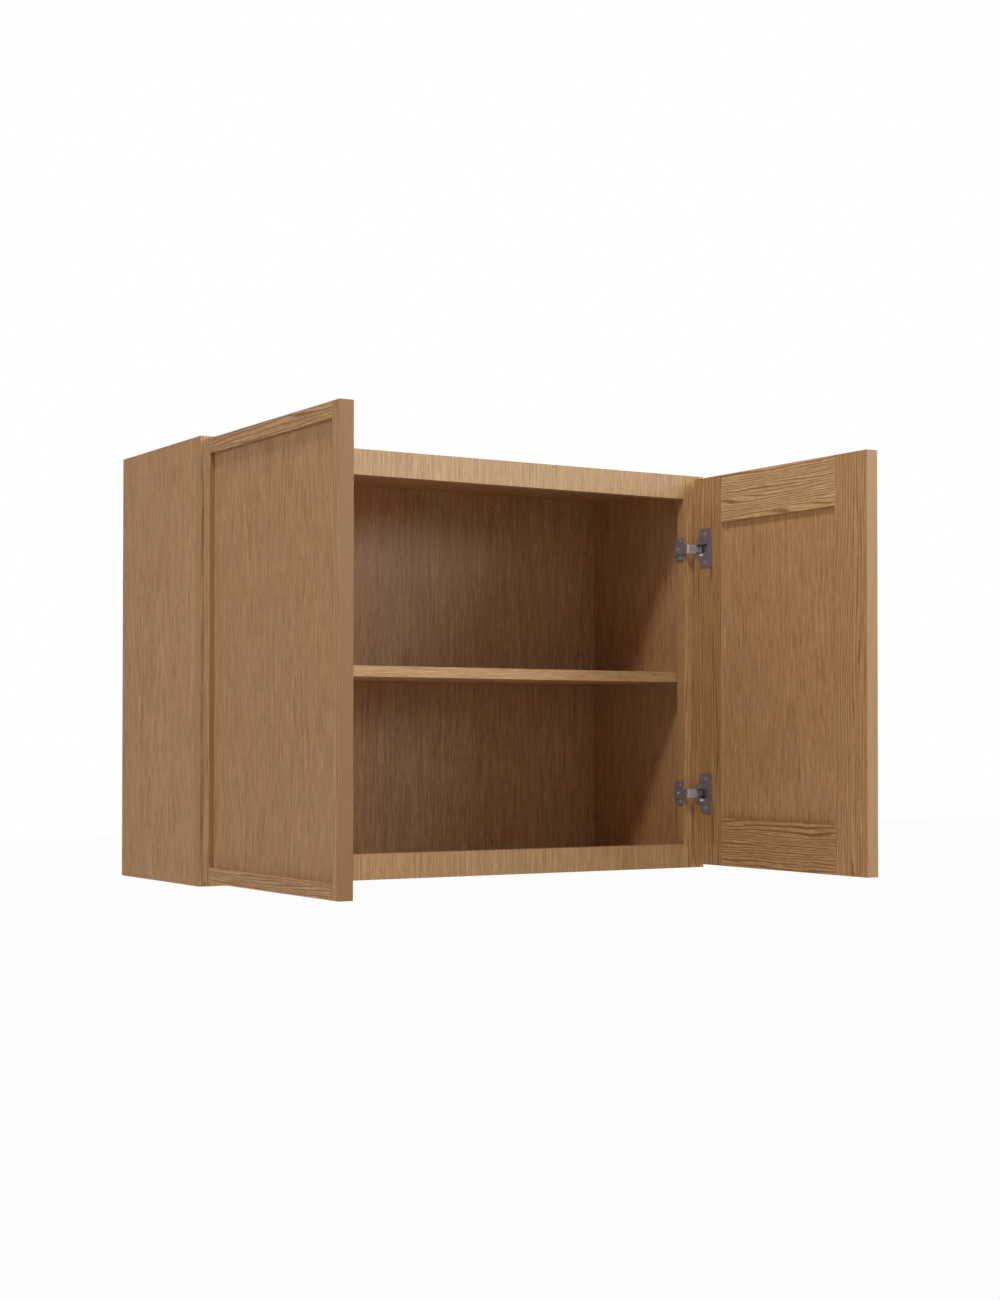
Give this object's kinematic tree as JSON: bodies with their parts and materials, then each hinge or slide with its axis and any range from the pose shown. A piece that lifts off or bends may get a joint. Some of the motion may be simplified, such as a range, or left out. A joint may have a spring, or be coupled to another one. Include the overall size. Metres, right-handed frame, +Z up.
{
  "type": "wall cabinet",
  "caption": "Hanging oak wall cabinet with a face frame, two framed doors on concealed hinges and a lift-out shelf resting on hidden pegs.",
  "frame": {"origin": "middle of the rear face, which lies against the wall", "axes": "+X to the right seen from the front, +Y into the wall, +Z up; the doors open towards -Y"},
  "size_m": [0.8382, 0.7095, 0.6096],
  "materials": {
    "oak_side": "clear satin lacquer on straight-grained oak veneer",
    "oak_interior": "clear satin lacquer on oak veneer plywood",
    "oak_face_frame": "clear satin lacquer on oak",
    "oak_shelf": "clear satin lacquer on oak veneer plywood",
    "oak_shelf_edge": "clear satin lacquer on oak edging",
    "oak_door_stile": "clear satin lacquer on straight-grained oak",
    "oak_door_rail": "clear satin lacquer on straight-grained oak",
    "oak_door_panel": "clear satin lacquer on oak veneer",
    "birch_dowel": "bare birch",
    "amber_plastic": "moulded amber plastic",
    "nickel_dark": "satin nickel plate",
    "nickel_bright": "bright nickel plate",
    "screw_steel": "zinc-plated steel"
  },
  "bodies": {
    "cabinet": {"left_side": "oak_side", "right_side": "oak_side", "top_deck": "oak_interior", "bottom_deck": "oak_interior", "back_panel": "oak_interior", "back_screws": "screw_steel", "left_frame_stile": "oak_face_frame", "right_frame_stile": "oak_face_frame", "top_frame_rail": "oak_face_frame", "bottom_frame_rail": "oak_face_frame", "frame_dowels": "birch_dowel", "shelf_pegs": "amber_plastic", "hinge_plate_left_upper": "nickel_dark", "hinge_plate_left_lower": "nickel_dark", "hinge_plate_right_upper": "nickel_dark", "hinge_plate_right_lower": "nickel_dark", "hinge_arm_left_upper": "nickel_bright", "hinge_arm_left_lower": "nickel_bright", "hinge_arm_right_upper": "nickel_bright", "hinge_arm_right_lower": "nickel_bright", "plate_screws": "screw_steel", "arm_screws": "screw_steel"},
    "shelf": {"shelf_board": "oak_shelf", "shelf_edge": "oak_shelf_edge"},
    "left_door": {"left_door_hinge_stile": "oak_door_stile", "left_door_free_stile": "oak_door_stile", "left_door_top_rail": "oak_door_rail", "left_door_bottom_rail": "oak_door_rail", "left_door_panel": "oak_door_panel", "hinge_cup_left_upper": "nickel_dark", "hinge_cup_left_lower": "nickel_dark", "left_hinge_pins": "screw_steel", "left_cup_screws": "screw_steel", "left_damper_switches": "nickel_bright"},
    "right_door": {"right_door_hinge_stile": "oak_door_stile", "right_door_free_stile": "oak_door_stile", "right_door_top_rail": "oak_door_rail", "right_door_bottom_rail": "oak_door_rail", "right_door_panel": "oak_door_panel", "hinge_cup_right_upper": "nickel_dark", "hinge_cup_right_lower": "nickel_dark", "right_hinge_pins": "screw_steel", "right_cup_screws": "screw_steel", "right_damper_switches": "nickel_bright"}
  },
  "joints": [
    {"name": "left_door_swing", "type": "hinge", "parent": "cabinet", "child": "left_door", "pos_m": [-0.40673, -0.30433, 0], "axis": [0, 0, 1], "range_deg": [-5, 90]},
    {"name": "right_door_swing", "type": "hinge", "parent": "cabinet", "child": "right_door", "pos_m": [0.40673, -0.30433, 0], "axis": [0, 0, -1], "range_deg": [-5, 90]},
    {"name": "shelf_lift", "type": "slide", "parent": "cabinet", "child": "shelf", "axis": [0, 0, 1], "range_m": [0, 0.165]}
  ]
}
